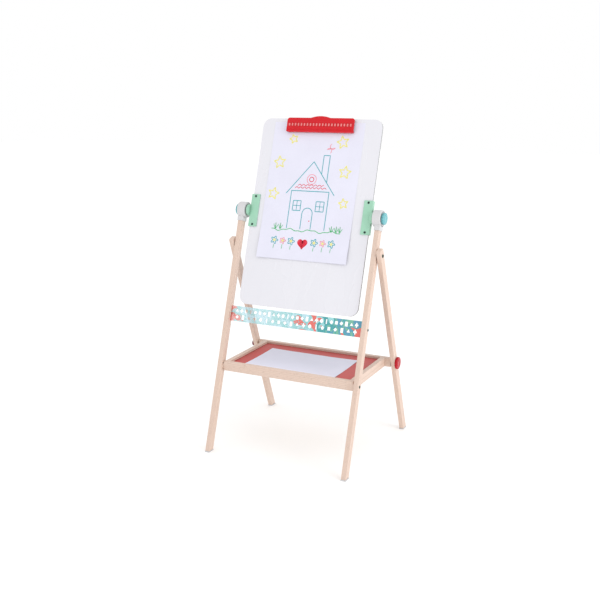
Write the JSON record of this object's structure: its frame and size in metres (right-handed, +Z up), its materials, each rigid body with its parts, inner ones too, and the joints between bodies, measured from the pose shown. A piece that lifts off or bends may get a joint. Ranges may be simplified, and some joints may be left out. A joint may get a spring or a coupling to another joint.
{
  "type": "kids easel",
  "caption": "Folding wooden easel for children with a flip board, a sprung paper clip, a stencil bar, a shallow tray and hand knobs.",
  "frame": {"origin": "on the floor, at the middle of the box round the easel", "axes": "+X to the right as seen from the front, +Y to the back, +Z up"},
  "size_m": [0.5176, 0.4646, 0.9953],
  "materials": {
    "beech_wood": "satin lacquer, fine straight grain",
    "white_plastic": "satin",
    "stencil_plastic": "printed, glossy",
    "grey_rubber": "matte",
    "zinc_steel": "zinc plated",
    "black_steel": "dark, satin",
    "board_fibre": "dark fibreboard edge",
    "whiteboard": "glossy laminate",
    "chalkboard": "matte slate paint",
    "mint_plastic": "satin",
    "washer_rubber": "matte",
    "red_plastic": "glossy",
    "blue_plastic": "satin gloss",
    "brass": "machined",
    "maroon_plastic": "glossy",
    "red_panel": "red painted panel",
    "paper": "matte"
  },
  "bodies": {
    "front_frame": {"front_leg_left": "beech_wood", "front_leg_right": "beech_wood", "leg_cap_left": "white_plastic", "leg_cap_right": "white_plastic", "cap_screws": "zinc_steel", "stencil_bar": "stencil_plastic", "stencil_screws": "black_steel", "front_foot_pads": "grey_rubber", "tray_pivot_bolts": "black_steel", "tray_spacers": "beech_wood", "rear_pivot_bolts": "black_steel", "rear_pivot_washers": "zinc_steel", "rear_pivot_inserts": "brass"},
    "board": {"board_core": "board_fibre", "whiteboard_face": "whiteboard", "chalkboard_face": "chalkboard", "bracket_left": "mint_plastic", "bracket_right": "mint_plastic", "bracket_screws": "black_steel", "pivot_studs": "zinc_steel", "friction_washers": "washer_rubber", "clip_base": "red_plastic", "clip_base_screws": "zinc_steel", "clip_hinge_pin": "zinc_steel", "clip_springs": "zinc_steel", "paper_sheet": "paper"},
    "clip": {"clip_lever": "red_plastic"},
    "knob_left": {"knob_left": "blue_plastic", "knob_left_insert": "brass"},
    "knob_right": {"knob_right": "blue_plastic", "knob_right_insert": "brass"},
    "rear_leg_left": {"rear_leg_left": "beech_wood", "rear_foot_pad_left": "grey_rubber", "tray_bolt_left": "maroon_plastic"},
    "rear_leg_right": {"rear_leg_right": "beech_wood", "rear_foot_pad_right": "grey_rubber"},
    "tray_knob": {"tray_knob": "red_plastic", "tray_knob_bolt": "zinc_steel"},
    "tray": {"tray_front_rail": "beech_wood", "tray_rear_rail": "beech_wood", "tray_side_left": "beech_wood", "tray_side_right": "beech_wood", "tray_base": "red_panel", "tray_sheet": "paper", "tray_screws": "zinc_steel", "tray_rail_inserts": "brass"}
  },
  "joints": [
    {"name": "board_flip", "type": "hinge", "parent": "front_frame", "child": "board", "pos_m": [0, 0.01134, 0.71179], "axis": [1, 0, 0], "continuous": true},
    {"name": "clip_open", "type": "hinge", "parent": "board", "child": "clip", "pos_m": [0, 0.0894, 0.96822], "axis": [-1, 0, 0], "range_deg": [0, 12], "stiffness_Nm_per_rad": 0.5, "springref_deg": -22.92},
    {"name": "knob_left_spin", "type": "hinge", "parent": "board", "child": "knob_left", "pos_m": [-0.2395, 0.01134, 0.71179], "axis": [1, 0, 0], "continuous": true},
    {"name": "knob_right_spin", "type": "hinge", "parent": "board", "child": "knob_right", "pos_m": [0.2395, 0.01134, 0.71179], "axis": [1, 0, 0], "continuous": true},
    {"name": "rear_leg_right_fold", "type": "hinge", "parent": "front_frame", "child": "rear_leg_right", "pos_m": [0.242, -0.02171, 0.61007], "axis": [-1, 0, 0], "range_deg": [0, 39.5]},
    {"name": "rear_leg_left_fold", "type": "hinge", "parent": "front_frame", "child": "rear_leg_left", "pos_m": [-0.242, -0.02171, 0.61007], "axis": [-1, 0, 0], "range_deg": [0, 39.5]},
    {"name": "tray_fold", "type": "hinge", "parent": "front_frame", "child": "tray", "pos_m": [0, -0.13838, 0.251], "axis": [1, 0, 0], "range_deg": [0, 62]},
    {"name": "tray_knob_spin", "type": "hinge", "parent": "rear_leg_right", "child": "tray_knob", "pos_m": [0.254, 0.11973, 0.251], "axis": [1, 0, 0], "continuous": true}
  ],
  "couplings": [
    {"joint": "rear_leg_left_fold", "follows": "rear_leg_right_fold", "ratio": 1}
  ]
}
